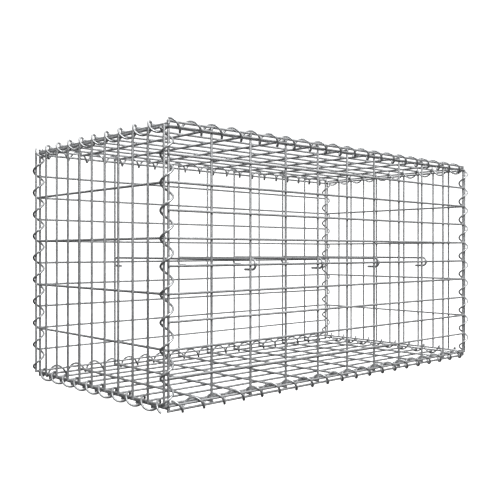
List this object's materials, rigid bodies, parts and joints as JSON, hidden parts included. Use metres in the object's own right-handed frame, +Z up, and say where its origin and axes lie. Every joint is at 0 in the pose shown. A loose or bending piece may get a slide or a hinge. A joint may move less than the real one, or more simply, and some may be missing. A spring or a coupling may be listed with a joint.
{
  "type": "welded mesh gabion basket",
  "caption": "Rectangular gabion wall unit of welded galvanised mesh, laced along every edge by spiral binders and braced inside by hooked spacer wires",
  "frame": {"origin": "centre of the footprint, on the level ground that the basket stands on", "axes": "X runs along the length of the wall, from the left end to the right; Y runs from the front face to the back; Z is up"},
  "size_m": [1.0356, 0.5272, 0.5342],
  "materials": {
    "mesh_wire": "satin",
    "spiral_wire": "satin",
    "spacer_wire": "satin"
  },
  "bodies": {
    "root": {"front_panel": "mesh_wire", "back_panel": "mesh_wire", "left_panel": "mesh_wire", "right_panel": "mesh_wire", "lid_panel": "mesh_wire", "base_panel": "mesh_wire", "top_front_spiral": "spiral_wire", "top_back_spiral": "spiral_wire", "top_left_spiral": "spiral_wire", "top_right_spiral": "spiral_wire", "bottom_front_spiral": "spiral_wire", "bottom_back_spiral": "spiral_wire", "bottom_left_spiral": "spiral_wire", "bottom_right_spiral": "spiral_wire", "front_left_spiral": "spiral_wire", "front_right_spiral": "spiral_wire", "back_left_spiral": "spiral_wire", "back_right_spiral": "spiral_wire", "spacer_1": "spacer_wire", "spacer_2": "spacer_wire", "spacer_3": "spacer_wire", "spacer_4": "spacer_wire"}
  },
  "joints": []
}
